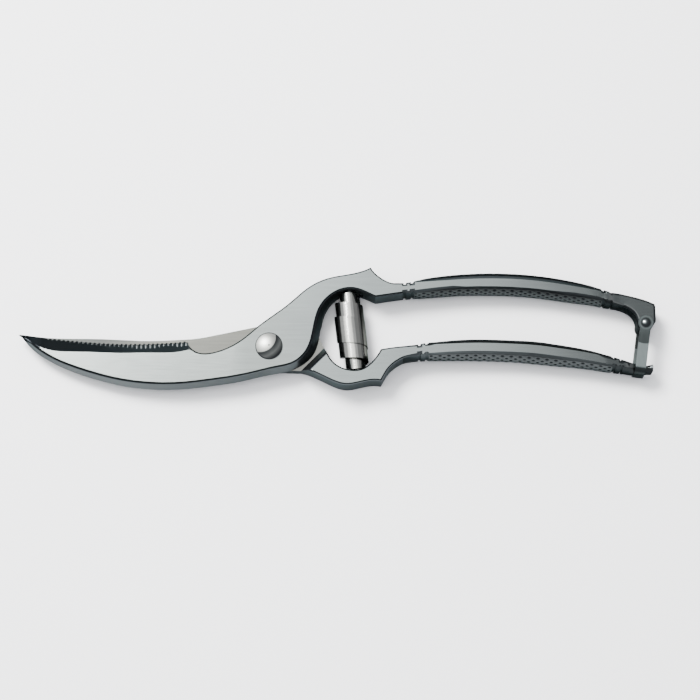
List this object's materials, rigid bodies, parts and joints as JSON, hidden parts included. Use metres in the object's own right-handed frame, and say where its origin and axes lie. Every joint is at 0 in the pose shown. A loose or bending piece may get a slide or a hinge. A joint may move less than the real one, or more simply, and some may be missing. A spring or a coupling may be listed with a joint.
{
  "type": "poultry shears",
  "caption": "All-metal poultry shears: two forged halves with curved blades, serrated edge and bone notch, pivot screw, volute spring, checkered handles and a swinging latch strap.",
  "frame": {"origin": "on the pivot axis, in the plane of the flat back of the closed shears, which is also the screw's end face", "axes": "+X from the pivot to the handle ends, along the shears; +Y from the lower blade's spine towards the upper handle; +Z out of the front face, along the pivot axis, towards the domed screw head"},
  "size_m": [0.249, 0.048, 0.0139],
  "materials": {
    "polished_forging": "polished stainless forging, bright flat faces",
    "screw_chrome": "mirror polished screw head",
    "fastener_steel": "turned stainless",
    "spring_nickel": "bright nickel plated spring strip",
    "strap_steel": "satin stainless sheet"
  },
  "bodies": {
    "rear": {"rear_half": "polished_forging", "lower_spring_peg": "fastener_steel", "volute_spring": "spring_nickel"},
    "front": {"front_half": "polished_forging", "pivot_screw": "screw_chrome", "pivot_nut": "fastener_steel", "pivot_washer": "fastener_steel", "upper_spring_peg": "fastener_steel", "latch_rivet": "screw_chrome"},
    "strap": {"latch_strap": "strap_steel"}
  },
  "joints": [
    {"name": "blade_pivot", "type": "hinge", "parent": "rear", "child": "front", "pos_m": [0, 0, 0.006], "axis": [0, 0, 1], "range_deg": [-1, 25], "deforming": ["volute_spring"]},
    {"name": "strap_swing", "type": "hinge", "parent": "front", "child": "strap", "pos_m": [0.1465, 0.0094, 0.006], "axis": [0, 0, 1], "range_deg": [0, 210]}
  ]
}
